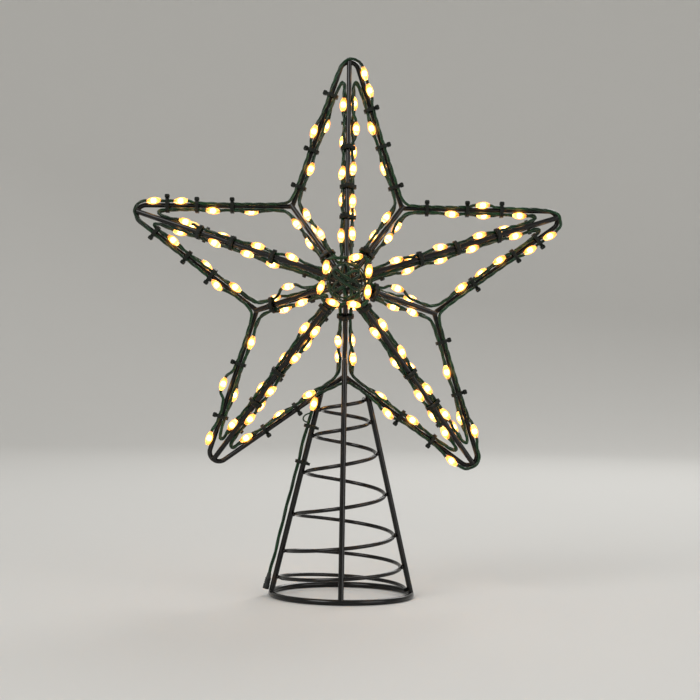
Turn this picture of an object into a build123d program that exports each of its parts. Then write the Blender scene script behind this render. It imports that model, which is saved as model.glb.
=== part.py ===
from build123d import *
import os
from math import asin, atan2, cos, dist, hypot, pi, radians, sin, sqrt, tan

# A lit star for the top of a Christmas tree: a welded steel wire star on a conical wire foot,
# dressed with a green lamp string that small cable ties hold to the frame.
# Millimetres, +Z up, front towards -Y, origin on the floor at the middle of the base ring.

# Star frame
tip_radius = 161.0
corner_radius = 68.0
tip_bend_radius = 6.8
star_height = 228.5
frame_wire = 3.5
hub_depth = 32.0
hub_ring_radius = 5.8
rib_overrun = 1.2
ridge_inset = 1.0
mitre_excess = 7.0

# Conical foot
ring_radius = 51.0
ring_wire = 4.2
leg_wire = 4.0
leg_top_radius = 16.9
leg_top_height = 148.0
spiral_wire = 2.8
spiral_turns = 6
spiral_top_height = 143.5
spiral_end_closing = 0.35
weld_gap = 0.05

# Lamp string
string_wire = 2.4
string_gap = 0.35
lamp_length = 10.0
lamp_diameter = 5.0
lamp_neck = 2.6
lamp_lead_in = 1.5
ramp_length = 4.5
turn_width = 4.8
valley_rest = 3.75
valley_lamp_rest = 5.2
bend_share = 0.45
hub_string_radius = 18.0
hub_lamp_turn = 22.0
hub_loop_width = 5.4
hub_loop_joint = 0.1
hub_loop_gap = 0.1
outline_string_forward = 3.6
outline_rest = 1.2
outline_lamp_rest = 3.1
outline_tip_rest = 1.8

# Cable ties
tie_width = 2.4
tie_band = 0.9
tie_clearance = 0.5
tie_head_length = 3.8
tie_head_width = 3.4
tie_head_height = 2.6
tie_head_chamfer = 0.6
tie_tail_length = 3.2
tie_tail_width = 2.0
tie_tail_thickness = 1.0
tie_lap = 0.3
tie_reach = 5.5
ties_per_edge = 3
ties_per_ridge = 3
ties_per_valley = 1
leg_top_room = 30.0
corner_room = 11.0

# Supply lead on the left leg
lead_wire = 2.4
lead_gap = 0.3
coupler_diameter = 4.6
coupler_length = 12.0
lead_run_out = 3.0
lead_lamp_height = 140.0
lead_lamp_aside = 3.2
lead_lamp_forward = 4.0
lead_strand_place = 16.0

# Arms counter-clockwise as seen from the front, by their angle from +X.
ARMS = {"top": 90, "left": 162, "lower_left": 234, "lower_right": 306, "right": 18}
HALF_STEP = 36

# Lamp places as shares of the ridge (hub to tip), of the edge (corner to tip) and of the valley
# (hub to corner). The first three lists are for the half arm on the counter-clockwise side. A pair
# is a lamp whose strand bows out, with how far from the wire it hangs.
FRONT_LAMPS = {
    "top": (((0.21, 0.50, 0.82), (0.28,), (0.56, 0.82)), ((0.22, 0.37, 0.52, (0.71, 6.6)), (0.58,), (0.80,))),
    "left": (((0.47, 0.63), (0.21, 0.74), ((0.58, 9.5),)), ((0.27, 0.435, 0.79), (0.54,), (0.80,))),
    "lower_left": (((0.27, 0.42, 0.61, 0.77), (0.27, 0.79), (0.62,)), ((0.285, 0.84), (0.22,), (0.50,))),
    "lower_right": (
        ((0.26, 0.41, 0.615, 0.76), (0.41,), (0.76,)), ((0.27, 0.62, 0.83), (0.55,), ((0.80, 6.3),))),
    "right": (
        ((0.25, 0.46, 0.65), (0.34, 0.80), ((0.63, 6.0),)), ((0.60, 0.81), (0.25, 0.57), ((0.52, 7.9),))),
}
BACK_LAMPS = {
    "top": (((0.40, 0.66), (0.60,), (0.66,)), ((0.33, 0.62, 0.84), (0.30,), (0.58,))),
    "left": (((0.36, 0.81), (0.46,), (0.78,)), ((0.62, 0.77), (0.28,), (0.58,))),
    "lower_left": (((0.34, 0.70), (0.52,), (0.78,)), ((0.46, 0.63), (0.60,), (0.70,))),
    "lower_right": (((0.50, 0.84), (0.74,), (0.56,)), ((0.44, 0.74), (0.28,), (0.60,))),
    "right": (((0.33, 0.78), (0.56,), (0.80,)), ((0.30, 0.46), (0.42,), (0.70,))),
}
# The outline strand runs in the notches between an arm and the next one counter-clockwise: lamp
# places on the edge of the first arm, then on the edge of the second, as shares from corner to tip.
NOTCH_LAMPS = {
    "top": ((0.53,), (0.76, 0.945)),
    "left": ((0.32,), ((0.55, 6.0), 0.93)),
    "lower_left": ((), (0.39, 0.93)),
    "lower_right": ((0.85,), (0.78, 0.945)),
    "right": ((0.55,), (0.83, 0.95)),
}
# Lamps round each hub, by their angle.
HUB_LAMPS = (148, 192, 236, 290, 334, 378, 422)
# Loops of strand laid over each hub, from the first to the outermost, by their angle and length.
HUB_LOOPS = ((90, 25), (35, 22), (145, 24))
# Heights of the lead on the left leg, with its distance from the leg's face there.
LEAD_ROUTE = ((128, 0.3), (112, 1.6), (97, 0.3), (78, 1.7), (54, 2.3), (30, 1.6))
LEAD_TIE_HEIGHTS = (123, 97)
BOTTOM_NOTCH = "lower_left"
LEAD_STEPS = 400

os.makedirs("parts", exist_ok=True)


def save(node, *shapes):
    solids = [solid for shape in shapes for solid in shape.solids()]
    shape = solids[0] if len(solids) == 1 else Compound(solids)
    export_step(shape, f"parts/{node}.step")


def rod(start, end, diameter):
    """Straight round wire between two points."""
    start = Vector(start)
    along = Vector(end) - start
    return extrude(Plane(start, z_dir=along) * Circle(diameter / 2), along.length)


def bend_radii(points):
    """The largest bends that the runs leave room for, when each takes its share of a run."""
    radii = []
    for before, corner, after in zip(points, points[1:], points[2:]):
        turn = radians((corner - before).get_angle(after - corner))
        run = min((corner - before).length, (after - corner).length)
        radii.append(bend_share * run / tan(turn / 2))
    return radii


least_bend = []
volume_error = []


def cord(points, diameter):
    """Round cord on straight runs and tangent arcs through the points."""
    points = [Vector(point) for point in points]
    if len(points) == 2:
        return rod(points[0], points[1], diameter)
    radii = bend_radii(points)
    path = FilletPolyline(*points, radius=radii)
    tube = sweep(Plane(path @ 0, z_dir=path % 0) * Circle(diameter / 2), path=path)
    least_bend.append(min(radii))
    volume_error.append(abs(tube.volume / (path.length * pi * diameter**2 / 4) - 1))
    return tube


# Star frame: one bent wire for each arm, mitred to its neighbours in the inner corners.
hub_centre = Vector(0, 0, star_height)
half_wire = frame_wire / 2
corner_along = corner_radius * cos(radians(HALF_STEP))
corner_across = corner_radius * sin(radians(HALF_STEP))
bend_centre = tip_radius - tip_bend_radius
to_bend = hypot(bend_centre - corner_along, corner_across)
arm_half_angle = atan2(corner_across, bend_centre - corner_along) - asin(tip_bend_radius / to_bend)
apex_radius = corner_along + corner_across / tan(arm_half_angle)
edge_length = sqrt(to_bend**2 - tip_bend_radius**2)


def star_point(angle, along, across=0.0, forward=0.0):
    """Point by its distance along and across a ray from the hub, and towards the front."""
    ray = radians(angle)
    x = along * cos(ray) - across * sin(ray)
    z = along * sin(ray) + across * cos(ray)
    return hub_centre + Vector(x, -forward, z)


for arm, angle in ARMS.items():
    apex = star_point(angle, apex_radius)
    ends = []
    for side in (1, -1):
        corner = star_point(angle, corner_along, side * corner_across)
        ends.append(corner + (corner - apex).normalized() * mitre_excess)
    path = FilletPolyline(ends[0], apex, ends[1], radius=tip_bend_radius)
    wire = sweep(Plane(path @ 0, z_dir=path % 0) * Circle(half_wire), path=path)
    for side in (1, -1):
        mitre = Plane(hub_centre, z_dir=star_point(angle + side * HALF_STEP, 0, -side) - hub_centre)
        wire = split(wire, bisect_by=mitre, keep=Keep.TOP)
    save(f"arm_{arm}", wire)

# Hub rings and ribs: each rib lies on the outer side of the hub ring and of the outline wire.
FACES = {"front": 1, "back": -1}
rib_lift = frame_wire + weld_gap
RIBS = {"ridge": (tip_radius, 0, ridge_inset), "valley": (corner_radius, HALF_STEP, 0)}


def rib_slope(reach):
    return hub_depth / (reach - hub_ring_radius)


def rib_forward(reach, along):
    """How far the axis of a rib lies in front of the outline plane, at a distance from the hub."""
    slope = rib_slope(reach)
    return hub_depth + rib_lift * hypot(1, slope) - slope * (along - hub_ring_radius)


rib_axes = {}
for face, way in FACES.items():
    ring_plane = Plane(star_point(0, 0, 0, way * hub_depth), z_dir=(0, 1, 0))
    save(f"hub_ring_{face}", ring_plane * Torus(hub_ring_radius, half_wire))
    for arm, angle in ARMS.items():
        for rib, (reach, turn, inset) in RIBS.items():
            lap = rib_lift * sin(atan2(rib_slope(reach), 1))
            ends = (hub_ring_radius + lap - rib_overrun, reach + lap - inset)
            axis = [star_point(angle + turn, along, 0, way * rib_forward(reach, along)) for along in ends]
            rib_axes[face, rib, arm] = axis
            save(f"{face}_{rib}_{arm}", rod(*axis, frame_wire))

# Conical foot: base ring, four straight legs and a spiral welded inside them.
ring_height = ring_wire / 2
leg_lean = (ring_radius - leg_top_radius) / (leg_top_height - ring_height)
leg_slant = hypot(1, leg_lean)


def leg_radius(height):
    return ring_radius - leg_lean * (height - ring_height)


base_ring = Pos(0, 0, ring_height) * Torus(ring_radius, ring_wire / 2)
save("base_ring", base_ring)

# Left and right legs stop under the lower edges, front and back legs under the bottom valley ribs.
legs = {"right": (1, 0), "back": (0, 1), "left": (-1, 0), "front": (0, -1)}
leg_tops = {
    "right": (star_point(ARMS["lower_right"], corner_along, -corner_across),
              star_point(ARMS["lower_right"], apex_radius)),
    "left": (star_point(ARMS["lower_left"], corner_along, corner_across),
             star_point(ARMS["lower_left"], apex_radius)),
    "front": rib_axes["front", "valley", "lower_left"],
    "back": rib_axes["back", "valley", "lower_left"],
}
for leg, (x, y) in legs.items():
    foot = Vector(x, y, 0) * ring_radius + Vector(0, 0, ring_height)
    top = Vector(x, y, 0) * leg_radius(star_height) + Vector(0, 0, star_height)
    wire = rod(foot, top, leg_wire)
    start, end = leg_tops[leg]
    along = (end - start).normalized()
    across = along.cross(Vector(-y, x, 0)).normalized()
    if across.Z > 0:
        across = across * -1
    seat = Plane(start + across * (half_wire + weld_gap), z_dir=across)
    wire = split(wire, bisect_by=seat, keep=Keep.TOP)
    save(f"leg_{leg}", wire - base_ring)

spiral_inset = ((leg_wire + spiral_wire) / 2 + weld_gap) * leg_slant
spiral_start = ring_wire + spiral_wire / 2 + weld_gap
spiral_rise = spiral_top_height - spiral_start


def spiral_point(turn):
    """Point of the spiral by turns from its foot, which stands at the right leg."""
    share = turn / spiral_turns
    height = spiral_start + spiral_rise * (share - spiral_end_closing * sin(2 * pi * share) / (2 * pi))
    radius = leg_radius(height) - spiral_inset
    return Vector(radius * cos(2 * pi * turn), radius * sin(2 * pi * turn), height)


def spiral_direction(turn):
    step = 1e-4
    return (spiral_point(turn + step) - spiral_point(turn - step)).normalized()


def biarc(start, start_way, end, end_way):
    """Two tangent arcs between two points with their directions."""
    gap = end - start
    both = start_way + end_way
    a = 2 * (1 - start_way.dot(end_way))
    b = 2 * gap.dot(both)
    reach = (-b + sqrt(b * b + 4 * a * gap.dot(gap))) / (2 * a)
    middle = (start + end + (start_way - end_way) * reach) * 0.5
    middle_way = (end - end_way * reach - start - start_way * reach).normalized()
    return [TangentArc(start, middle, tangent=start_way), TangentArc(middle, end, tangent=middle_way)]


quarters = spiral_turns * 4
edges = []
for quarter in range(quarters):
    turn, following = quarter / 4, (quarter + 1) / 4
    edges += biarc(spiral_point(turn), spiral_direction(turn),
                   spiral_point(following), spiral_direction(following))
foot_end = spiral_point(0) - spiral_direction(0) * spiral_wire
top_end = spiral_point(spiral_turns) + spiral_direction(spiral_turns) * spiral_wire
path = Wire([Line(foot_end, spiral_point(0)), *edges, Line(spiral_point(spiral_turns), top_end)])
spiral = sweep(Plane(path @ 0, z_dir=path % 0) * Circle(spiral_wire / 2), path=path)
save("tree_spiral", spiral)
steps = 36
places = [spiral_point(n / steps) for n in range(spiral_turns * steps + 1)]
clear = min(
    dist(tuple(a), tuple(b))
    for i, a in enumerate(places)
    for b in places[i + steps // 2:]
) - spiral_wire
print("spiral: least gap to itself", round(clear, 2), "volume error",
      round(spiral.volume / (path.length * pi * spiral_wire**2 / 4) - 1, 5))

# Lamp string: moulded lamps on green wire, one loop of strand inside each half arm.
half_lamp = lamp_length / 2
lamp_room = half_lamp + lamp_lead_in + ramp_length
string_rest = half_wire + string_gap + string_wire / 2
lamp_rest = half_wire + string_gap + lamp_diameter / 2
neck = lamp_neck / 2
lamp_profile = make_face([
    Polyline((neck, 0, half_lamp), (0, 0, half_lamp), (0, 0, -half_lamp), (neck, 0, -half_lamp)),
    ThreePointArc((neck, 0, -half_lamp), (lamp_diameter / 2, 0, 0), (neck, 0, half_lamp)),
])
lamp_body = revolve(lamp_profile, Axis.Z)


class Side:
    """A strand's way beside one wire. Stations run along it, offsets away from the wire."""

    def __init__(self, start, end, inside, rest):
        self.start = start
        self.way = (end - start).normalized()
        self.length = (end - start).length
        inward = inside - start
        self.inward = (inward - self.way * inward.dot(self.way)).normalized()
        self.rest = rest
        self.bends = []

    def at(self, station, offset):
        return self.start + self.way * station + self.inward * offset

    def station_of(self, point):
        return (point - self.start).dot(self.way)

    def offset_of(self, point):
        return (point - self.start).dot(self.inward)

    def strand_at(self, station):
        """Point of the strand at a station, or nothing where the strand doesn't reach."""
        for (low, low_offset), (high, high_offset) in zip(self.bends, self.bends[1:]):
            if low <= station <= high:
                share = (station - low) / (high - low)
                return self.at(station, low_offset + (high_offset - low_offset) * share)
        return None

    def ramp(self, offset):
        """Run in which the strand swings from the wire to an offset, as long as the swing at least."""
        return lamp_lead_in + max(ramp_length, abs(offset - self.rest))

    def route(self, first, last, lamps):
        """Bends and lamps from a first turn to a last one. Between stops the strand dips to the wire."""
        stops = [(station, offset, half_lamp) for station, offset in sorted(lamps)]
        if first:
            stops.insert(0, (self.station_of(first), self.offset_of(first), 0))
        if last:
            stops.append((self.station_of(last), self.offset_of(last), 0))
        kinds = ["lamp" if stop[2] else "bend" for stop in stops]
        items = [(kinds[0], *stops[0][:2])]
        for (a, a_offset, a_half), (b, b_offset, b_half), kind in zip(stops, stops[1:], kinds[1:]):
            leave = a + a_half
            arrive = b - b_half
            a_ramp = self.ramp(a_offset)
            b_ramp = self.ramp(b_offset)
            dips = arrive - leave > a_ramp + b_ramp + tie_width
            level = abs(a_offset - b_offset) < tie_clearance
            if a_half and (dips or not level):
                items.append(("bend", leave + lamp_lead_in, a_offset))
            if dips and abs(a_offset - self.rest) > tie_clearance:
                items.append(("bend", leave + a_ramp, self.rest))
            if dips and abs(b_offset - self.rest) > tie_clearance:
                items.append(("bend", arrive - b_ramp, self.rest))
            if b_half and (dips or not level):
                items.append(("bend", arrive - lamp_lead_in, b_offset))
            items.append((kind, b, b_offset))
        self.bends = [(station, offset) for _, station, offset in items]
        return [(kind, self.at(station, offset), self.way) for kind, station, offset in items]


def crossing(one, one_offset, two, two_offset):
    """Point where two offset lines of one plane cross."""
    a = one.at(0, one_offset)
    b = two.at(0, two_offset)
    normal = one.way.cross(two.way)
    return a + one.way * ((b - a).cross(two.way).dot(normal) / normal.dot(normal))


def tight_turn(one, two):
    """Two points that turn a strand round from one side to the next."""
    middle = crossing(one, one.rest, two, two.rest)
    inner_angle = radians((one.way * -1).get_angle(two.way))
    reach = turn_width / 2 / sin(inner_angle / 2)
    return middle - one.way * reach, middle + two.way * reach


def thread(items, closed):
    """The pieces of strand between the lamps, and the lamps."""
    pieces = [[]]
    lamps = []
    for kind, point, way in items:
        if kind == "lamp":
            pieces[-1].append(point - way * half_lamp)
            pieces.append([point + way * half_lamp])
            lamps.append(Plane(point, z_dir=way) * lamp_body)
        elif not pieces[-1] or (point - pieces[-1][-1]).length > weld_gap:
            pieces[-1].append(point)
    if closed:
        pieces[0] = pieces.pop() + pieces[0]
    else:
        pieces = pieces[1:-1]
    return [cord(points, string_wire) for points in pieces], lamps


def lamp_spots(lamps, length, usual):
    """Lamps by their distance along a way of some length, with their distance from the wire."""
    pairs = [lamp if isinstance(lamp, tuple) else (lamp, usual) for lamp in lamps]
    return [(share * length, offset) for share, offset in pairs]


def from_end(spots, length):
    return [(length - station, offset) for station, offset in spots]


LAMPS = {"front": FRONT_LAMPS, "back": BACK_LAMPS}
hub_forward = rib_forward(tip_radius, 0)
apex_forward = rib_forward(tip_radius, apex_radius)
sides = {}
for arm, angle in ARMS.items():
    strands = []
    lamps = []
    for face, way in FACES.items():
        for half, shares in zip((1, -1), LAMPS[face][arm]):
            hub = star_point(angle, 0, 0, way * hub_forward)
            apex = star_point(angle, apex_radius, 0, way * apex_forward)
            corner = star_point(angle, corner_along, half * corner_across, way * half_wire)
            ridge = Side(hub, apex, corner, string_rest)
            edge = Side(apex, corner, hub, string_rest)
            valley = Side(corner, hub, apex, valley_rest)
            sides[face, arm, half] = {"ridge": ridge, "edge": edge, "valley": valley}
            hub_turn = tight_turn(valley, ridge)
            tip_turn = tight_turn(ridge, edge)
            corner_turn = crossing(edge, lamp_rest, valley, valley_lamp_rest)
            ridge_lamps = lamp_spots(shares[0], tip_radius, lamp_rest)
            edge_lamps = from_end(lamp_spots(shares[1], edge_length, lamp_rest), edge.length)
            valley_lamps = from_end(lamp_spots(shares[2], valley.length, valley_lamp_rest), valley.length)
            items = ridge.route(hub_turn[1], tip_turn[0], ridge_lamps)
            items += edge.route(tip_turn[1], corner_turn, edge_lamps)
            items += valley.route(corner_turn, hub_turn[0], valley_lamps)
            loop_strands, loop_lamps = thread(items, closed=True)
            strands += loop_strands
            lamps += loop_lamps
    save(f"string_{arm}", *strands)
    save(f"lamps_{arm}", *lamps)

# Outline strand: it starts at a lamp on the supply lead and runs once round the star on the outer
# side of the outline, along both edges of each notch and round the bend of each tip.
leg_up = Vector(leg_lean, 0, 1).normalized()
lead_lamp = Vector(-leg_radius(lead_lamp_height) - lead_lamp_aside, -lead_lamp_forward, lead_lamp_height)
items = [("lamp", lead_lamp, leg_up), ("bend", lead_lamp + leg_up * (half_lamp + lead_run_out), None)]
shift = Vector(0, -outline_string_forward, 0)
tip_rise = tip_radius + outline_tip_rest - corner_along - outline_rest * sin(arm_half_angle)
tip_station = tip_rise / cos(arm_half_angle)
arm_names = list(ARMS)
bottom = arm_names.index(BOTTOM_NOTCH)
notches = arm_names[bottom:] + arm_names[:bottom]
for arm, following in zip(notches, notches[1:] + notches[:1]):
    corner = star_point(ARMS[arm], corner_along, corner_across) + shift
    outside = star_point(ARMS[arm] + HALF_STEP, apex_radius) + shift
    first = Side(star_point(ARMS[arm], apex_radius) + shift, corner, outside, outline_rest)
    second = Side(corner, star_point(ARMS[following], apex_radius) + shift, outside, outline_rest)
    sides["notch", arm, 1] = {"edge": first}
    sides["notch", following, -1] = {"edge": second}
    middle = crossing(first, outline_lamp_rest, second, outline_lamp_rest)
    first_lamps = from_end(lamp_spots(NOTCH_LAMPS[arm][0], edge_length, outline_lamp_rest), first.length)
    second_lamps = lamp_spots(NOTCH_LAMPS[arm][1], edge_length, outline_lamp_rest)
    if arm == BOTTOM_NOTCH:
        items.append(("bend", first.at(first.length - lead_strand_place, outline_rest), None))
    else:
        items += first.route(first.at(first.length - tip_station, outline_rest), middle, first_lamps)
    tip_turn = None if following == BOTTOM_NOTCH else second.at(tip_station, outline_rest)
    items += second.route(middle, tip_turn, second_lamps)
strands, lamps = thread(items, closed=False)
save("string_outline", *strands)
save("lamps_outline", *lamps)

# A ring of lamps round each hub, on the ridges, and loops of strand laid over the hub inside it.
strands = []
lamps = []
hub_turn_radius = hub_string_radius / cos(radians(hub_lamp_turn))
hub_loop_forward = rib_forward(tip_radius, hub_ring_radius) + string_rest
hub_string_forward = rib_forward(tip_radius, hub_string_radius) + lamp_rest * hypot(1, rib_slope(tip_radius))
for way in FACES.values():
    items = []
    for angle in HUB_LAMPS:
        middle = star_point(angle, hub_string_radius, 0, way * hub_string_forward)
        around = star_point(angle + 90, 1) - hub_centre
        before, after = [
            ("bend", star_point(angle + turn, hub_turn_radius, 0, way * hub_string_forward), None)
            for turn in (-hub_lamp_turn, hub_lamp_turn)
        ]
        items += [before, ("lamp", middle, around), after]
    hub_strands, hub_lamps = thread(items, closed=True)
    strands += hub_strands
    lamps += hub_lamps
    aside = hub_loop_width / 2
    for layer, (angle, length) in enumerate(HUB_LOOPS):
        forward = way * (hub_loop_forward + layer * (string_wire + hub_loop_gap))
        end = length / 2
        loop = [(hub_loop_joint, aside), (end, aside), (end, -aside), (-end, -aside), (-end, aside)]
        loop.append((0, aside))
        points = [star_point(angle, along, across, forward) for along, across in loop]
        strands.append(cord(points, string_wire))
save("string_hub", *strands)
save("lamps_hub", *lamps)

# Supply lead: from the lamp beside the left leg down that leg to a coupler at its foot.
def beside_left_leg(height, gap, diameter):
    reach = (leg_wire / 2 + gap + diameter / 2) * leg_slant
    return Vector(-leg_radius(height) - reach, 0, height)


coupler_bottom = beside_left_leg(ring_wire + lead_gap, lead_gap, coupler_diameter)
coupler_top = coupler_bottom + leg_up * coupler_length
save("lead_coupler", rod(coupler_bottom, coupler_top, coupler_diameter))
lead_start = lead_lamp - leg_up * half_lamp
lead_points = [lead_start, lead_start - leg_up * lead_run_out]
lead_points += [beside_left_leg(height, gap, lead_wire) for height, gap in LEAD_ROUTE]
lead_points += [coupler_top + leg_up * coupler_length / 2, coupler_top]
lead_path = FilletPolyline(*lead_points, radius=bend_radii(lead_points))
save("lead_wire", cord(lead_points, lead_wire))
print("lead: length", round(lead_path.length), "bend radii",
      [round(radius, 1) for radius in bend_radii(lead_points)])


# Cable ties: a band round a wire and the strands beside it, with a head and a cut tail.
head_box = Pos(0, 0, tie_head_height / 2) * Box(tie_head_length, tie_head_width, tie_head_height)
head_box = chamfer(head_box.faces().sort_by(Axis.Z)[-1].edges(), tie_head_chamfer)
tail_middle = (tie_head_length + tie_tail_length) / 2 - tie_lap
tail_box = Pos(tail_middle, 0, tie_head_height / 2) * Box(tie_tail_length, tie_tail_width, tie_tail_thickness)
head_and_tail = head_box + tail_box


def tie(plane, rods, head_way, tail_side):
    def hull(grow):
        return make_hull([(Pos(x, y) * Circle(radius + grow)).edge() for x, y, radius in rods])

    ring = hull(tie_clearance + tie_band) - hull(tie_clearance)
    band = extrude(plane * ring, tie_width / 2, both=True)
    head = (plane.to_local_coords(plane.origin + head_way)).normalized()
    x, y, radius = max(rods, key=lambda rod: rod[0] * head.X + rod[1] * head.Y + rod[2])
    reach = radius + tie_clearance + tie_band - tie_lap
    seat = plane.from_local_coords((x + head.X * reach, y + head.Y * reach, 0))
    head_plane = Plane(seat, x_dir=head_way.cross(plane.z_dir) * tail_side, z_dir=head_way)
    return band + head_plane * head_and_tail


def tie_spots(lamps, low, high, count):
    """Places in the widest gaps between lamps, where the strands lie on the wire if there is room."""
    stops = [(low, 0), *[(station, lamp_room) for station, _ in sorted(lamps)], (high, 0)]
    gaps = []
    for (a, a_room), (b, b_room) in zip(stops, stops[1:]):
        on_wire = b - b_room - a - a_room > tie_width
        middle = (a + a_room + b - b_room) / 2 if on_wire else (a + b) / 2
        if b - a > lamp_length + tie_width + 4 * tie_clearance:
            gaps.append((b - a, middle))
    return sorted(middle for _, middle in sorted(gaps)[-count:])


def tie_on(axis, strands, head_way, tail_side):
    """A tie round a straight wire and the points of the strands within its reach."""
    start, end = axis
    along = (end - start).normalized()
    origin = start + along * (strands[0] - start).dot(along)
    plane = Plane(origin, x_dir=head_way.cross(along), z_dir=along)
    rods = [(0, 0, half_wire)]
    for strand in strands:
        local = plane.to_local_coords(strand)
        if hypot(local.X, local.Y) < tie_reach:
            rods.append((local.X, local.Y, string_wire / 2))
    across = (head_way - along * head_way.dot(along)).normalized()
    return tie(plane, rods, across, tail_side)


outline_ties = []
for arm, angle in ARMS.items():
    for half, row in ((1, 0), (-1, 1)):
        corner = star_point(angle, corner_along, half * corner_across)
        apex = star_point(angle, apex_radius)
        axis = (corner, apex)
        outward = (apex - corner).cross(Vector(0, half, 0)).normalized()
        notch_arm = arm if half > 0 else arm_names[arm_names.index(arm) - 1]
        lamps = LAMPS["front"][arm][row][1] + LAMPS["back"][arm][row][1] + NOTCH_LAMPS[notch_arm][row]
        front_edge = sides["front", arm, half]["edge"]
        reach = front_edge.length - front_edge.bends[0][0]
        low = leg_top_room if notch_arm == BOTTOM_NOTCH else corner_room
        spots = tie_spots(lamp_spots(lamps, edge_length, lamp_rest), low, reach, ties_per_edge)
        for count, spot in enumerate(spots):
            strands = []
            for face in ("front", "back", "notch"):
                side = sides[face, arm, half]["edge"]
                from_start = face == "notch" and half < 0
                strand = side.strand_at(spot if from_start else side.length - spot)
                if strand:
                    strands.append(strand)
            outline_ties.append(tie_on(axis, strands, outward, (-1) ** count))
save("ties_outline", *outline_ties)

for face, way in FACES.items():
    face_ties = []
    forward = Vector(0, -way, 0)
    for arm, following in zip(arm_names, arm_names[1:] + arm_names[:1]):
        halves = LAMPS[face][arm]
        left, right = sides[face, arm, 1], sides[face, arm, -1]
        lamps = lamp_spots(halves[0][0] + halves[1][0], tip_radius, lamp_rest)
        low, high = left["ridge"].bends[0][0], left["ridge"].bends[-1][0]
        for count, spot in enumerate(tie_spots(lamps, low, high, ties_per_ridge)):
            strands = [left["ridge"].strand_at(spot), right["ridge"].strand_at(spot)]
            face_ties.append(tie_on(rib_axes[face, "ridge", arm], strands, forward, (-1) ** count))
        right = sides[face, following, -1]
        length = left["valley"].length
        right_lamps = LAMPS[face][following][1][2]
        lamps = from_end(lamp_spots(halves[0][2] + right_lamps, length, valley_lamp_rest), length)
        low = left["valley"].bends[0][0] + lamp_lead_in + ramp_length
        high = left["valley"].bends[-1][0]
        for spot in tie_spots(lamps, low, high, ties_per_valley):
            strands = [left["valley"].strand_at(spot), right["valley"].strand_at(spot)]
            tail_side = -1 if isinstance(right_lamps[0], tuple) else 1
            face_ties.append(tie_on(rib_axes[face, "valley", arm], strands, forward, tail_side))
    save(f"ties_{face}", *face_ties)

lead_ties = []
for height in LEAD_TIE_HEIGHTS:
    origin = Vector(-leg_radius(height), 0, height)
    plane = Plane(origin, x_dir=(0, 1, 0), z_dir=leg_up * -1)
    on_lead = [plane.to_local_coords(lead_path @ (step / LEAD_STEPS)) for step in range(LEAD_STEPS)]
    local = min(on_lead, key=lambda point: abs(point.Z))
    rods = [(0, 0, leg_wire / 2), (local.X, local.Y, lead_wire / 2)]
    lead_ties.append(tie(plane, rods, Vector(0, -1, 0), 1))
save("ties_lead", *lead_ties)
print("cords: least bend radius", round(min(least_bend), 2),
      "largest volume error", round(max(volume_error), 5))
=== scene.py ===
from math import asin, atan2, cos, degrees, hypot, pi, radians, sin, sqrt, tan

import bpy
from mathutils import Matrix, Vector


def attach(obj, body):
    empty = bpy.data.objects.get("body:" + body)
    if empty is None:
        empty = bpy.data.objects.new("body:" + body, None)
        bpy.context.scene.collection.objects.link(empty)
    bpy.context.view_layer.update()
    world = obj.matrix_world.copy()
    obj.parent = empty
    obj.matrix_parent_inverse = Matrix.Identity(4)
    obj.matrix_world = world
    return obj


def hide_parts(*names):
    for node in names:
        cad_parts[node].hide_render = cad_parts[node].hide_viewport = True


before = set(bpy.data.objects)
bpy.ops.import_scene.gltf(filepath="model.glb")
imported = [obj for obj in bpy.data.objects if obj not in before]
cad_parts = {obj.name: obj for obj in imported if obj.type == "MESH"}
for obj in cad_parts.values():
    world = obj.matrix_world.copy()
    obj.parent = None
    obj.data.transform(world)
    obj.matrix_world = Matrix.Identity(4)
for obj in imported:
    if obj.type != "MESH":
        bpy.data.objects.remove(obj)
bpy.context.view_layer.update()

scene = bpy.context.scene
mm = 0.001

# Wire of the star and the foot: drawn steel wire, bent and welded, then dipped in black enamel. The coat
# is thick and glossy with a slight orange peel; its brown flecks are painted reflections of the warm lamps.


def linear(colour):
    """Linear RGBA of an sRGB hex value."""
    parts = [int(colour[place:place + 2], 16) / 255 for place in (1, 3, 5)]
    return (*(part / 12.92 if part <= 0.04045 else ((part + 0.055) / 1.055) ** 2.4 for part in parts), 1.0)


def set_inputs(node, inputs):
    """Set inputs of a node to values, or link them from sockets."""
    for name, value in inputs.items():
        if isinstance(value, bpy.types.NodeSocket):
            node.id_data.links.new(value, node.inputs[name])
        else:
            node.inputs[name].default_value = value


def add_node(tree, kind, inputs=None, stops=(), **settings):
    """A node with its inputs and settings, and with places and hex colours where it has a ramp."""
    made = tree.nodes.new(kind)
    for name, value in settings.items():
        setattr(made, name, value)
    for number, (place, colour) in enumerate(stops):
        elements = made.color_ramp.elements
        element = elements[number] if number < len(elements) else elements.new(1.0)
        element.position = place
        element.color = linear(colour)
    set_inputs(made, inputs or {})
    return made


def new_material(name):
    material = bpy.data.materials.new(name)
    material.use_nodes = True
    return material, material.node_tree, material.node_tree.nodes["Principled BSDF"]


def coat(names, material):
    """Give a material to the CAD nodes whose names start so."""
    for name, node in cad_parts.items():
        if name.startswith(names):
            node.data.materials.clear()
            node.data.materials.append(material)


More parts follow.
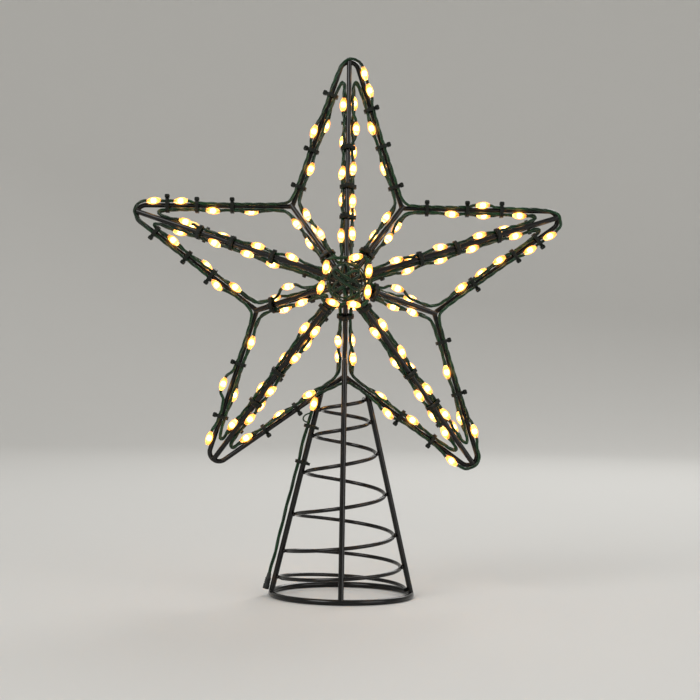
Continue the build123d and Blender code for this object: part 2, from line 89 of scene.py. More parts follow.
enamel_patch = 9 * mm
orange_peel = 0.7 * mm
peel_depth = 0.1 * mm
enamel, tree, shader = new_material("black_enamel_on_steel_wire")
place = add_node(tree, "ShaderNodeTexCoord").outputs["Object"]
patches = add_node(tree, "ShaderNodeTexNoise", {"Vector": place, "Scale": 1 / enamel_patch, "Detail": 4.0})
# Black enamel with brown flecks at the top of the ramp: the flecks are painted reflections of the warm lamps.
black_with_painted_glints = add_node(tree, "ShaderNodeValToRGB", {"Fac": patches.outputs["Fac"]}, stops=(
    (0.35, "#050505"), (0.6, "#0b0907"), (0.78, "#2a1a0c")))
gloss = add_node(tree, "ShaderNodeMapRange", {
    "Value": patches.outputs["Fac"], "To Min": 0.08, "To Max": 0.24})
peel = add_node(tree, "ShaderNodeTexNoise", {"Vector": place, "Scale": 1 / orange_peel, "Detail": 2.0})
peel_bump = add_node(tree, "ShaderNodeBump", {
    "Height": peel.outputs["Fac"], "Strength": 0.12, "Distance": peel_depth})
set_inputs(shader, {
    "Base Color": black_with_painted_glints.outputs["Color"], "Roughness": gloss.outputs["Result"],
    "Normal": peel_bump.outputs["Normal"], "Specular IOR Level": 0.4})
coat(("arm_", "front_", "back_", "hub_ring_", "base_ring", "leg_", "tree_spiral"), enamel)

# Lamp string: three thin copper wires in dark green PVC, twisted slowly round each other. They are laid
# beside every wire of the star, held there by ties, and swing out round each moulded lamp.
HUB = Vector((0, 0, 228.5 * mm))
ARMS = {"top": 90, "left": 162, "lower_left": 234, "lower_right": 306, "right": 18}
ARM_NAMES = list(ARMS)
HALF_STEP = 36
FACES = {"front": 1, "back": -1}
tip_radius = 161 * mm
corner_radius = 68 * mm
tip_bend_radius = 6.8 * mm
frame_wire = 3.5 * mm
hub_depth = 32 * mm
hub_ring_radius = 5.8 * mm
weld_gap = 0.05 * mm
half_wire = frame_wire / 2
corner_along = corner_radius * cos(radians(HALF_STEP))
corner_across = corner_radius * sin(radians(HALF_STEP))
bend_centre = tip_radius - tip_bend_radius
to_bend = hypot(bend_centre - corner_along, corner_across)
arm_half_angle = atan2(corner_across, bend_centre - corner_along) - asin(tip_bend_radius / to_bend)
apex_radius = corner_along + corner_across / tan(arm_half_angle)
edge_length = sqrt(to_bend**2 - tip_bend_radius**2)

string_wire = 2.4 * mm
string_gap = 0.35 * mm
lamp_length = 10 * mm
lamp_diameter = 5 * mm
lamp_lead_in = 1.5 * mm
ramp_length = 4.5 * mm
turn_width = 4.8 * mm
valley_rest = 3.75 * mm
valley_lamp_rest = 5.2 * mm
tie_width = 2.4 * mm
level_step = 0.5 * mm
half_lamp = lamp_length / 2
string_rest = half_wire + string_gap + string_wire / 2
lamp_rest = half_wire + string_gap + lamp_diameter / 2

# Lamp places as shares of the ridge (hub to tip), of the edge (corner to tip) and of the valley
# (hub to corner). The first three lists are for the half arm on the counter-clockwise side. A pair
# is a lamp whose strand bows out, with how far from the wire it hangs, in mm.
FRONT_LAMPS = {
    "top": (((0.21, 0.50, 0.82), (0.28,), (0.56, 0.82)), ((0.22, 0.37, 0.52, (0.71, 6.6)), (0.58,), (0.80,))),
    "left": (((0.47, 0.63), (0.21, 0.74), ((0.58, 9.5),)), ((0.27, 0.435, 0.79), (0.54,), (0.80,))),
    "lower_left": (((0.27, 0.42, 0.61, 0.77), (0.27, 0.79), (0.62,)), ((0.285, 0.84), (0.22,), (0.50,))),
    "lower_right": (
        ((0.26, 0.41, 0.615, 0.76), (0.41,), (0.76,)), ((0.27, 0.62, 0.83), (0.55,), ((0.80, 6.3),))),
    "right": (
        ((0.25, 0.46, 0.65), (0.34, 0.80), ((0.63, 6.0),)), ((0.60, 0.81), (0.25, 0.57), ((0.52, 7.9),))),
}
BACK_LAMPS = {
    "top": (((0.40, 0.66), (0.60,), (0.66,)), ((0.33, 0.62, 0.84), (0.30,), (0.58,))),
    "left": (((0.36, 0.81), (0.46,), (0.78,)), ((0.62, 0.77), (0.28,), (0.58,))),
    "lower_left": (((0.34, 0.70), (0.52,), (0.78,)), ((0.46, 0.63), (0.60,), (0.70,))),
    "lower_right": (((0.50, 0.84), (0.74,), (0.56,)), ((0.44, 0.74), (0.28,), (0.60,))),
    "right": (((0.33, 0.78), (0.56,), (0.80,)), ((0.30, 0.46), (0.42,), (0.70,))),
}
LAMPS = {"front": FRONT_LAMPS, "back": BACK_LAMPS}


def star_point(angle, along, across=0.0, forward=0.0):
    """Point by its distance along and across a ray from the hub, and towards the front."""
    ray = radians(angle)
    x = along * cos(ray) - across * sin(ray)
    z = along * sin(ray) + across * cos(ray)
    return HUB + Vector((x, -forward, z))


def rib_slope(reach):
    return hub_depth / (reach - hub_ring_radius)


def rib_forward(reach, along):
    """How far the axis of a rib lies in front of the outline plane, at a distance from the hub."""
    slope = rib_slope(reach)
    return hub_depth + (frame_wire + weld_gap) * hypot(1, slope) - slope * (along - hub_ring_radius)


class Side:
    """A strand's way beside one wire. Stations run along it, offsets away from the wire."""

    def __init__(self, start, end, inside, rest):
        self.start = start
        self.way = (end - start).normalized()
        self.length = (end - start).length
        inward = inside - start
        self.inward = (inward - self.way * inward.dot(self.way)).normalized()
        self.rest = rest

    def at(self, station, offset):
        return self.start + self.way * station + self.inward * offset

    def stop(self, point):
        """Station and offset of a turn."""
        return (point - self.start).dot(self.way), (point - self.start).dot(self.inward), 0

    def ramp(self, offset):
        """Run in which the strand swings from the wire to an offset, as long as the swing at least."""
        return lamp_lead_in + max(ramp_length, abs(offset - self.rest))

    def route(self, first, last, lamps):
        """Bends and lamps from a first turn to a last one. Between stops the strand dips to the wire."""
        stops = [self.stop(first)] if first else []
        stops += [(station, offset, half_lamp) for station, offset in sorted(lamps)]
        stops += [self.stop(last)] if last else []
        kinds = ["lamp" if stop[2] else "bend" for stop in stops]
        items = [(kinds[0], *stops[0][:2])]
        for (a, a_offset, a_half), (b, b_offset, b_half), kind in zip(stops, stops[1:], kinds[1:]):
            leave = a + a_half
            arrive = b - b_half
            a_ramp = self.ramp(a_offset)
            b_ramp = self.ramp(b_offset)
            dips = arrive - leave > a_ramp + b_ramp + tie_width
            level = abs(a_offset - b_offset) < level_step
            if a_half and (dips or not level):
                items.append(("bend", leave + lamp_lead_in, a_offset))
            if dips and abs(a_offset - self.rest) > level_step:
                items.append(("bend", leave + a_ramp, self.rest))
            if dips and abs(b_offset - self.rest) > level_step:
                items.append(("bend", arrive - b_ramp, self.rest))
            if b_half and (dips or not level):
                items.append(("bend", arrive - lamp_lead_in, b_offset))
            items.append((kind, b, b_offset))
        return [(kind, self.at(station, offset), self.way) for kind, station, offset in items]


def crossing(one, one_offset, two, two_offset):
    """Point where two offset lines of one plane cross."""
    a = one.at(0, one_offset)
    b = two.at(0, two_offset)
    normal = one.way.cross(two.way)
    return a + one.way * ((b - a).cross(two.way).dot(normal) / normal.dot(normal))


def tight_turn(one, two):
    """Two points that turn a strand round from one side to the next."""
    middle = crossing(one, one.rest, two, two.rest)
    reach = turn_width / 2 / sin((-one.way).angle(two.way) / 2)
    return middle - one.way * reach, middle + two.way * reach


def thread(items, closed):
    """The runs of strand between the lamps, as lists of points, and the lamps with their directions."""
    runs = [[]]
    lamps = []
    for kind, point, way in items:
        if kind == "lamp":
            runs[-1].append(point - way * half_lamp)
            runs.append([point + way * half_lamp])
            lamps.append((point, way))
        elif not runs[-1] or (point - runs[-1][-1]).length > weld_gap:
            runs[-1].append(point)
    if closed:
        runs[0] = runs.pop() + runs[0]
    else:
        runs = runs[1:-1]
    return runs, lamps


def lamp_spots(lamps, length, usual):
    """Lamps by their distance along a way of some length, with their distance from the wire."""
    pairs = [(lamp[0], lamp[1] * mm) if isinstance(lamp, tuple) else (lamp, usual) for lamp in lamps]
    return [(share * length, offset) for share, offset in pairs]


def from_end(spots, length):
    return [(length - station, offset) for station, offset in spots]


strings = {}
hub_forward = rib_forward(tip_radius, 0)
apex_forward = rib_forward(tip_radius, apex_radius)
for arm, angle in ARMS.items():
    strings[arm] = [], []
    for face, way in FACES.items():
        for half, shares in zip((1, -1), LAMPS[face][arm]):
            hub = star_point(angle, 0, 0, way * hub_forward)
            apex = star_point(angle, apex_radius, 0, way * apex_forward)
            corner = star_point(angle, corner_along, half * corner_across, way * half_wire)
            ridge = Side(hub, apex, corner, string_rest)
            edge = Side(apex, corner, hub, string_rest)
            valley = Side(corner, hub, apex, valley_rest)
            hub_turn = tight_turn(valley, ridge)
            tip_turn = tight_turn(ridge, edge)
            corner_turn = crossing(edge, lamp_rest, valley, valley_lamp_rest)
            edge_lamps = from_end(lamp_spots(shares[1], edge_length, lamp_rest), edge.length)
            valley_lamps = from_end(lamp_spots(shares[2], valley.length, valley_lamp_rest), valley.length)
            items = ridge.route(hub_turn[1], tip_turn[0], lamp_spots(shares[0], tip_radius, lamp_rest))
            items += edge.route(tip_turn[1], corner_turn, edge_lamps)
            items += valley.route(corner_turn, hub_turn[0], valley_lamps)
            for found, kept in zip(thread(items, closed=True), strings[arm]):
                kept += found

# The outline strand starts at a lamp on the supply lead and runs once round the star on the outer
# side of the outline, in the notches between an arm and the next one counter-clockwise and round
# the bend of each tip. Lamp places are shares from corner to tip, on the first arm and the second.
NOTCH_LAMPS = {
    "top": ((0.53,), (0.76, 0.945)),
    "left": ((0.32,), ((0.55, 6.0), 0.93)),
    "lower_left": ((), (0.39, 0.93)),
    "lower_right": ((0.85,), (0.78, 0.945)),
    "right": ((0.55,), (0.83, 0.95)),
}
BOTTOM_NOTCH = "lower_left"
outline_shift = Vector((0, -3.6 * mm, 0))
outline_rest = 1.2 * mm
outline_lamp_rest = 3.1 * mm
outline_tip_rest = 1.8 * mm
ring_radius = 51 * mm
ring_wire = 4.2 * mm
leg_wire = 4 * mm
leg_top_reach = 16.9 * mm
leg_top_height = 148 * mm
leg_lean = (ring_radius - leg_top_reach) / (leg_top_height - ring_wire / 2)
leg_slant = hypot(1, leg_lean)
leg_up = Vector((leg_lean, 0, 1)).normalized()
lead_lamp_height = 140 * mm
lead_lamp_aside = 3.2 * mm
lead_lamp_forward = 4 * mm
lead_run_out = 3 * mm
lead_strand_place = 16 * mm


def leg_radius(height):
    return ring_radius - leg_lean * (height - ring_wire / 2)


lead_lamp_reach = leg_radius(lead_lamp_height) + lead_lamp_aside
lead_lamp = Vector((-lead_lamp_reach, -lead_lamp_forward, lead_lamp_height))
items = [("lamp", lead_lamp, leg_up), ("bend", lead_lamp + leg_up * (half_lamp + lead_run_out), None)]
tip_rise = tip_radius + outline_tip_rest - corner_along - outline_rest * sin(arm_half_angle)
tip_station = tip_rise / cos(arm_half_angle)
bottom = ARM_NAMES.index(BOTTOM_NOTCH)
notches = ARM_NAMES[bottom:] + ARM_NAMES[:bottom]
for arm, following in zip(notches, notches[1:] + notches[:1]):
    corner = star_point(ARMS[arm], corner_along, corner_across) + outline_shift
    outside = star_point(ARMS[arm] + HALF_STEP, apex_radius) + outline_shift
    first = Side(star_point(ARMS[arm], apex_radius) + outline_shift, corner, outside, outline_rest)
    second = Side(corner, star_point(ARMS[following], apex_radius) + outline_shift, outside, outline_rest)
    middle = crossing(first, outline_lamp_rest, second, outline_lamp_rest)
    first_lamps = from_end(lamp_spots(NOTCH_LAMPS[arm][0], edge_length, outline_lamp_rest), first.length)
    second_lamps = lamp_spots(NOTCH_LAMPS[arm][1], edge_length, outline_lamp_rest)
    if arm == BOTTOM_NOTCH:
        items.append(("bend", first.at(first.length - lead_strand_place, outline_rest), None))
    else:
        items += first.route(first.at(first.length - tip_station, outline_rest), middle, first_lamps)
    tip_turn = None if following == BOTTOM_NOTCH else second.at(tip_station, outline_rest)
    items += second.route(middle, tip_turn, second_lamps)
strings["outline"] = thread(items, closed=False)

# A ring of lamps round each hub, laid on the ridges by hand, and loops of strand over the hub inside
# it. A lamp has its place round the hub, its distance from it in mm and its turn out of the ring's
# line. A loop has its angle, and its corners along and across that, in mm.
HUB_LAMPS = (
    (146, 17.2, 26), (195, 18.4, -20), (239, 18.0, 15), (289, 17.4, -28), (334, 17.4, 26), (384, 17.8, -20),
    (428, 18.4, 26))
HUB_LOOPS = (
    (96, ((12.5, 2.2), (11.5, -3.2), (-2.0, -2.2), (-12.0, -3.6), (-11.5, 2.4))),
    (30, ((10.5, 3.6), (11.5, -2.0), (-10.0, -3.4), (-11.0, 1.4), (0.5, 3.4))),
    (147, ((11.0, 1.8), (12.0, -3.2), (1.0, -1.8), (-10.5, -3.4), (-12.5, 2.0))),
)
hub_string_radius = 18 * mm
hub_loop_gap = 0.1 * mm
hub_loop_forward = rib_forward(tip_radius, hub_ring_radius) + string_rest
hub_string_forward = rib_forward(tip_radius, hub_string_radius) + lamp_rest * hypot(1, rib_slope(tip_radius))
strings["hub"] = [], []
for way in FACES.values():
    items = []
    for angle, reach, turn in HUB_LAMPS:
        middle = star_point(angle, reach * mm, 0, way * hub_string_forward)
        along = star_point(angle + 90 + turn, 1) - HUB
        lead_out = along * (half_lamp + lamp_lead_in)
        items.append(("bend", middle - lead_out, None))
        items.append(("lamp", middle, along))
        items.append(("bend", middle + lead_out, None))
    for found, kept in zip(thread(items, closed=True), strings["hub"]):
        kept += found
    for layer, (angle, corners) in enumerate(HUB_LOOPS):
        forward = way * (hub_loop_forward + layer * (string_wire + hub_loop_gap))
        loop = [star_point(angle, along * mm, across * mm, forward) for along, across in corners]
        start = (loop[0] + loop[-1]) / 2
        strings["hub"][0].append([start, *loop, start])

# The PVC is drawn over the copper: a smooth skin with a soft gloss, and a green that is deeper in places.
tint_length = 14 * mm
skin_grain = 0.5 * mm
skin_depth = 0.05 * mm
insulation, tree, shader = new_material("dark_green_pvc_insulation")
place = add_node(tree, "ShaderNodeTexCoord").outputs["Object"]
tint = add_node(tree, "ShaderNodeTexNoise", {"Vector": place, "Scale": 1 / tint_length, "Detail": 3.0})
green = add_node(tree, "ShaderNodeValToRGB", {"Fac": tint.outputs["Fac"]}, stops=(
    (0.3, "#061f0d"), (0.7, "#103f1f")))
skin = add_node(tree, "ShaderNodeTexNoise", {"Vector": place, "Scale": 1 / skin_grain, "Detail": 2.0})
skin_bump = add_node(tree, "ShaderNodeBump", {
    "Height": skin.outputs["Fac"], "Strength": 0.15, "Distance": skin_depth})
set_inputs(shader, {
    "Base Color": green.outputs["Color"], "Normal": skin_bump.outputs["Normal"], "Roughness": 0.27})


def new_tree(name, inputs):
    """A node tree for geometry with named inputs, and the sockets that give them."""
    tree = bpy.data.node_groups.new(name, "GeometryNodeTree")
    tree.interface.new_socket("Geometry", in_out="OUTPUT", socket_type="NodeSocketGeometry")
    tree.interface.new_socket("Geometry", in_out="INPUT", socket_type="NodeSocketGeometry")
    for label, kind in inputs.items():
        tree.interface.new_socket(label, in_out="INPUT", socket_type="NodeSocket" + kind)
    return tree, add_node(tree, "NodeGroupInput").outputs


def new_object(name, data):
    made = bpy.data.objects.new(name, data)
    scene.collection.objects.link(made)
    return made


def made_by(tree, name, source, settings):
    """The smooth plain mesh object that a node tree makes of a source, which is then removed."""
    modifier = source.modifiers.new(tree.name, "NODES")
    modifier.node_group = tree
    for socket in tree.interface.items_tree:
        if socket.name in settings:
            modifier[socket.identifier] = settings[socket.name]
    depsgraph = bpy.context.evaluated_depsgraph_get()
    mesh = bpy.data.meshes.new_from_object(source.evaluated_get(depsgraph), depsgraph=depsgraph)
    mesh.name = name
    mesh.shade_smooth()
    bpy.data.objects.remove(source)
    return new_object(name, mesh)


waver_length = 45 * mm
wire_spread = 1.02
wire_sides = 8


def bundle_tree(name, wires):
    """A tree that twists some round wires about a line. The wires nearly touch, by wire_spread."""
    tree, given = new_tree(name, {
        "Wire diameter": "Float", "Twist pitch": "Float", "Step": "Float", "Waver": "Float",
        "Material": "Material"})
    fine = add_node(tree, "GeometryNodeResampleCurve", {
        "Curve": given["Geometry"], "Length": given["Step"]}, mode="LENGTH")
    waver = add_node(tree, "ShaderNodeTexNoise", {"Scale": 1 / waver_length, "Detail": 1.0})
    about_zero = add_node(tree, "ShaderNodeVectorMath", {
        0: waver.outputs["Color"], 1: (0.5, 0.5, 0.5)}, operation="SUBTRACT")
    shift = add_node(tree, "ShaderNodeVectorMath", {
        0: about_zero.outputs["Vector"], "Scale": given["Waver"]}, operation="SCALE")
    line = add_node(tree, "GeometryNodeSetPosition", {
        "Geometry": fine.outputs["Curve"], "Offset": shift.outputs["Vector"]})
    along = add_node(tree, "GeometryNodeSplineParameter").outputs["Length"]
    turns = add_node(tree, "ShaderNodeMath", {0: along, 1: given["Twist pitch"]}, operation="DIVIDE")
    tilt = add_node(tree, "ShaderNodeMath", {0: turns.outputs[0], 1: 2 * pi}, operation="MULTIPLY")
    twisted = add_node(tree, "GeometryNodeSetCurveTilt", {
        "Curve": line.outputs["Geometry"], "Tilt": tilt.outputs[0]})
    wire_radius = add_node(tree, "ShaderNodeMath", {0: given["Wire diameter"], 1: 0.5}, operation="MULTIPLY")
    round_wire = add_node(tree, "GeometryNodeCurvePrimitiveCircle", {
        "Resolution": wire_sides, "Radius": wire_radius.outputs[0]})
    profile = add_node(tree, "GeometryNodeJoinGeometry")
    centre_radius = wire_spread / (2 * sin(pi / wires)) if wires > 1 else 0
    for count in range(wires):
        turn = 2 * pi * count / wires
        centre = add_node(tree, "ShaderNodeVectorMath", {
            0: (centre_radius * cos(turn), centre_radius * sin(turn), 0), "Scale": given["Wire diameter"]},
            operation="SCALE")
        moved = add_node(tree, "GeometryNodeTransform", {
            "Geometry": round_wire.outputs["Curve"], "Translation": centre.outputs["Vector"]})
        tree.links.new(moved.outputs["Geometry"], profile.inputs["Geometry"])
    tubes = add_node(tree, "GeometryNodeCurveToMesh", {
        "Curve": twisted.outputs["Curve"], "Profile Curve": profile.outputs["Geometry"], "Fill Caps": True})
    whole = add_node(tree, "GeometryNodeRealizeInstances", {"Geometry": tubes.outputs["Mesh"]})
    painted = add_node(tree, "GeometryNodeSetMaterial", {
        "Geometry": whole.outputs["Geometry"], "Material": given["Material"]})
    add_node(tree, "NodeGroupOutput", {"Geometry": painted.outputs["Geometry"]})
    return tree


def lay_wires(bundle, name, runs, diameter, pitch, step, waver):
    """A piece of insulated wires along one smooth line for each run of points."""
    curve = bpy.data.curves.new(f"{name}_route", "CURVE")
    curve.dimensions = "3D"
    for points in runs:
        line = curve.splines.new("NURBS")
        line.points.add(len(points) - 1)
        for control, point in zip(line.points, points):
            control.co = (*point, 1.0)
        line.order_u = 3
        line.use_endpoint_u = True
        line.resolution_u = 12
    return made_by(bundle, name, new_object(curve.name, curve), {
        "Wire diameter": diameter, "Twist pitch": pitch, "Step": step, "Waver": waver,
        "Material": insulation})


wire_diameter = 1.12 * mm
wire_step = 1.2 * mm
twist_pitch = 26 * mm
string_waver = 0.7 * mm
three_wires = bundle_tree("Three wire bundle", 3)
for group, (runs, _) in strings.items():
    piece = lay_wires(
        three_wires, f"string_{group}_wires", runs, wire_diameter, twist_pitch, wire_step, string_waver)
    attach(piece, "root")
    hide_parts(f"string_{group}")

# A single wire is wound three times round the ribs of each hub, outside the loops, by hand: each turn
# wanders in and out and crosses the others. A wave has its count in a turn, its size in mm and its
# start. The wire rises and sinks with the waves, by shares of its diameter.
WRAP_WAVES = ((4 / 3, 1.2, 0.0), (7 / 3, 0.7, 1.0), (1, 0.5, 2.2))
wrap_radius = 12.9 * mm
wrap_turns = 3
wrap_steps = 18
wrap_lift = 1.1
wrap_rise = 0.6
wraps = []
for way in FACES.values():
    wraps.append([])
    for step in range(wrap_turns * wrap_steps + 1):
        turn = 2 * pi * step / wrap_steps
        reach = wrap_radius + sum(size * mm * sin(count * turn + start) for count, size, start in WRAP_WAVES)
        rise = sum(cos(count * turn + start) for count, _, start in WRAP_WAVES) / len(WRAP_WAVES)
        lift = half_wire + wire_diameter * (wrap_lift + wrap_rise * rise)
        wraps[-1].append(star_point(degrees(turn), reach, 0, way * (rib_forward(tip_radius, reach) + lift)))
one_wire = bundle_tree("Single wire", 1)
piece = lay_wires(one_wire, "string_hub_wraps", wraps, wire_diameter, twist_pitch, wire_step, waver=0.0)
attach(piece, "root")

# Lamps: a warm light chip in a clear resin body, moulded lemon-shaped round the wires. The chip
# shows as a white core, and the resin round it glows amber, deeper towards the ends.
resin, tree, shader = new_material("clear_resin_lamp_body")
glow = add_node(tree, "ShaderNodeAttribute", attribute_name="glow").outputs["Fac"]
amber = add_node(tree, "ShaderNodeValToRGB", {"Fac": glow}, stops=(
    (0.1, "#a84c06"), (0.5, "#f58a14"), (1.0, "#ffa42a")))
set_inputs(shader, {
    "Emission Color": amber.outputs["Color"], "Emission Strength": 1.1, "Base Color": linear("#ffcb7c"),
    "Roughness": 0.3, "Transmission Weight": 1.0, "IOR": 1.45})
chip, tree, shader = new_material("warm_white_light_chip")
glow = add_node(tree, "ShaderNodeAttribute", attribute_name="glow").outputs["Fac"]
warm = add_node(tree, "ShaderNodeValToRGB", {"Fac": glow}, stops=((0.2, "#ffc45c"), (0.65, "#fff0cc")))
set_inputs(shader, {
    "Emission Color": warm.outputs["Color"], "Emission Strength": 8.0, "Base Color": linear("#fff4dc")})


def lathe(name, profile, sides):
    """Turned shape about Z from radii and heights, closed at both ends."""
    turns = [2 * pi * n / sides for n in range(sides)]
    points = [
        (radius * cos(turn), radius * sin(turn), height) for radius, height in profile for turn in turns]
    faces = []
    for row in range(len(profile) - 1):
        for n in range(sides):
            a = row * sides + n
            b = row * sides + (n + 1) % sides
            faces.append((a, b, b + sides, a + sides))
    last = (len(profile) - 1) * sides
    faces.append(tuple(range(sides - 1, -1, -1)))
    faces.append(tuple(range(last, last + sides)))
    mesh = bpy.data.meshes.new(name)
    mesh.from_pydata(points, [], faces)
    mesh.shade_smooth()
    return new_object(name, mesh)


lamp_neck_radius = 1.1 * mm
lamp_rows = 11
lamp_sides = 14
core_radius = 1.3 * mm
core_reach = 2.8 * mm
core_rows = 7
core_sides = 10
body_profile = []
for row in range(lamp_rows):
    height = -cos(pi * row / (lamp_rows - 1))
    radius = max(lamp_neck_radius, lamp_diameter / 2 * sqrt(1 - height**2))
    body_profile.append((radius, height * half_lamp))
core_profile = []
for row in range(1, core_rows + 1):
    turn = pi * row / (core_rows + 1)
    core_profile.append((core_radius * sin(turn), -core_reach * cos(turn)))
body = lathe("lamp_body", body_profile, lamp_sides)
core = lathe("lamp_core", core_profile, core_sides)
for shape in (body, core):
    points = shape.data.vertices
    reach = max(point.co.z for point in points)
    glow = shape.data.attributes.new("glow", "FLOAT", "POINT")
    for value, point in zip(glow.data, points):
        value.value = 1 - abs(point.co.z) / reach

lamp_tree, given = new_tree("Lamps on the string", {
    "Body": "Object", "Core": "Object", "Tilt": "Float", "Seed": "Int", "Resin": "Material",
    "Chip": "Material"})
way = add_node(lamp_tree, "GeometryNodeInputNamedAttribute", {"Name": "way"}, data_type="FLOAT_VECTOR")
along = add_node(lamp_tree, "FunctionNodeAlignRotationToVector", {
    "Vector": way.outputs["Attribute"]}, axis="Z")
chance = add_node(lamp_tree, "FunctionNodeRandomValue", {
    0: (-1, -1, 0), 1: (1, 1, 0), "Seed": given["Seed"]}, data_type="FLOAT_VECTOR")
lean = add_node(lamp_tree, "ShaderNodeVectorMath", {
    0: chance.outputs[0], "Scale": given["Tilt"]}, operation="SCALE")
tilt = add_node(lamp_tree, "FunctionNodeEulerToRotation", {0: lean.outputs["Vector"]})
turned = add_node(lamp_tree, "FunctionNodeRotateRotation", {
    0: along.outputs[0], 1: tilt.outputs[0]}, rotation_space="LOCAL")
joined = add_node(lamp_tree, "GeometryNodeJoinGeometry")
for shape, finish in (("Body", "Resin"), ("Core", "Chip")):
    source = add_node(lamp_tree, "GeometryNodeObjectInfo", {"Object": given[shape]})
    placed = add_node(lamp_tree, "GeometryNodeInstanceOnPoints", {
        "Points": given["Geometry"], "Instance": source.outputs["Geometry"], "Rotation": turned.outputs[0]})
    whole = add_node(lamp_tree, "GeometryNodeRealizeInstances", {"Geometry": placed.outputs["Instances"]})
    painted = add_node(lamp_tree, "GeometryNodeSetMaterial", {
        "Geometry": whole.outputs["Geometry"], "Material": given[finish]})
    lamp_tree.links.new(painted.outputs["Geometry"], joined.inputs["Geometry"])
add_node(lamp_tree, "NodeGroupOutput", {"Geometry": joined.outputs["Geometry"]})


def new_places(name, points):
    """An object of bare points, for a node tree to put shapes on."""
    mesh = bpy.data.meshes.new(name)
    mesh.from_pydata(points, [], [])
    return new_object(name, mesh)


lamp_tilt = radians(12)
lamp_seed = 7
for group, (_, lamps) in strings.items():
    source = new_places(f"lamps_{group}_places", [point for point, _ in lamps])
    ways = source.data.attributes.new("way", "FLOAT_VECTOR", "POINT")
    for value, (_, way) in zip(ways.data, lamps):
        value.vector = way
    piece = made_by(lamp_tree, f"lamps_{group}_lit", source, {
        "Body": body, "Core": core, "Tilt": lamp_tilt, "Seed": lamp_seed, "Resin": resin, "Chip": chip})
    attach(piece, "root")
    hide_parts(f"lamps_{group}")
bpy.data.objects.remove(body)
bpy.data.objects.remove(core)

# Weld beads: small lumps of weld metal, where the ribs meet hub ring and outline, the spiral meets the
# legs and the legs meet the base ring. Spot welds squeeze them out, and the enamel covers them.
LEGS = ((1, 0), (0, 1), (-1, 0), (0, -1))
spiral_wire = 2.8 * mm
spiral_turns = 6
spiral_start = ring_wire + spiral_wire / 2 + weld_gap
spiral_top = 143.5 * mm
spiral_end_closing = 0.35
beads = []
for way in FACES.values():
    for turn in range(0, 360, HALF_STEP):
        reach = tip_radius if turn // HALF_STEP % 2 else corner_radius
        for along in (hub_ring_radius, reach - half_wire):
            forward = rib_forward(reach, along) - half_wire
            beads.append(star_point(turn + 90 + HALF_STEP, along, 0, way * forward))
spiral_welds = len(LEGS) * spiral_turns
for weld in range(spiral_welds + 1):
    share = weld / spiral_welds
    climb = share - spiral_end_closing * sin(2 * pi * share) / (2 * pi)
    height = spiral_start + (spiral_top - spiral_start) * climb
    x, y = LEGS[weld % len(LEGS)]
    reach = leg_radius(height) - leg_wire / 2
    beads.append(Vector((x * reach, y * reach, height)))
for x, y in LEGS:
    reach = leg_radius(ring_wire)
    beads.append(Vector((x * reach, y * reach, ring_wire)))

bead_radius = 1.5 * mm
bead_segments = 10
bead_rings = 6
bead_least = 0.8
bead_most = 1.25
bead_seed = 3
bead_tree, given = new_tree("Weld beads", {"Radius": "Float", "Seed": "Int", "Material": "Material"})
ball = add_node(bead_tree, "GeometryNodeMeshUVSphere", {
    "Segments": bead_segments, "Rings": bead_rings, "Radius": given["Radius"]})
size = add_node(bead_tree, "FunctionNodeRandomValue", {
    0: (bead_least,) * 3, 1: (bead_most,) * 3, "Seed": given["Seed"]}, data_type="FLOAT_VECTOR")
placed = add_node(bead_tree, "GeometryNodeInstanceOnPoints", {
    "Points": given["Geometry"], "Instance": ball.outputs["Mesh"], "Scale": size.outputs[0]})
whole = add_node(bead_tree, "GeometryNodeRealizeInstances", {"Geometry": placed.outputs["Instances"]})
painted = add_node(bead_tree, "GeometryNodeSetMaterial", {
    "Geometry": whole.outputs["Geometry"], "Material": given["Material"]})
add_node(bead_tree, "NodeGroupOutput", {"Geometry": painted.outputs["Geometry"]})
piece = made_by(bead_tree, "weld_beads", new_places("weld_places", beads), {
    "Radius": bead_radius, "Seed": bead_seed, "Material": enamel})
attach(piece, "root")

# Cable ties: moulded nylon straps, pulled tight round wire and strands, with a locking head and a
# cut tail. Near black with a green cast, and a fine dull grain from the mould.
nylon_grain = 0.6 * mm
nylon_depth = 0.05 * mm
nylon, tree, shader = new_material("dark_nylon_cable_tie")
place = add_node(tree, "ShaderNodeTexCoord").outputs["Object"]
grain = add_node(tree, "ShaderNodeTexNoise", {"Vector": place, "Scale": 1 / nylon_grain, "Detail": 3.0})
dark = add_node(tree, "ShaderNodeValToRGB", {"Fac": grain.outputs["Fac"]}, stops=(
    (0.3, "#070b07"), (0.75, "#11180f")))
grain_bump = add_node(tree, "ShaderNodeBump", {
    "Height": grain.outputs["Fac"], "Strength": 0.2, "Distance": nylon_depth})
set_inputs(shader, {
    "Base Color": dark.outputs["Color"], "Normal": grain_bump.outputs["Normal"], "Roughness": 0.42,
    "Specular IOR Level": 0.3})
coat("ties_", nylon)

# Supply lead: three insulated wires, thicker and twisted less than those of the string, tied along the
# left leg from the first lamp down to the coupler at the foot. Its route is given by heights and by
# gaps to the leg, in mm.
LEAD_ROUTE = ((128, 0.3), (112, 1.0), (97, 0.4), (78, 0.8), (54, 1.1), (30, 0.8))
lead_wire = 2.7 * mm
bundle_width = 1 + wire_spread / sin(pi / 3)
lead_pitch = 70 * mm
lead_gap = 0.3 * mm
coupler_diameter = 4.6 * mm
coupler_length = 12 * mm


def beside_left_leg(height, gap, diameter):
    reach = (leg_wire / 2 + gap + diameter / 2) * leg_slant
    return Vector((-leg_radius(height) - reach, 0, height))


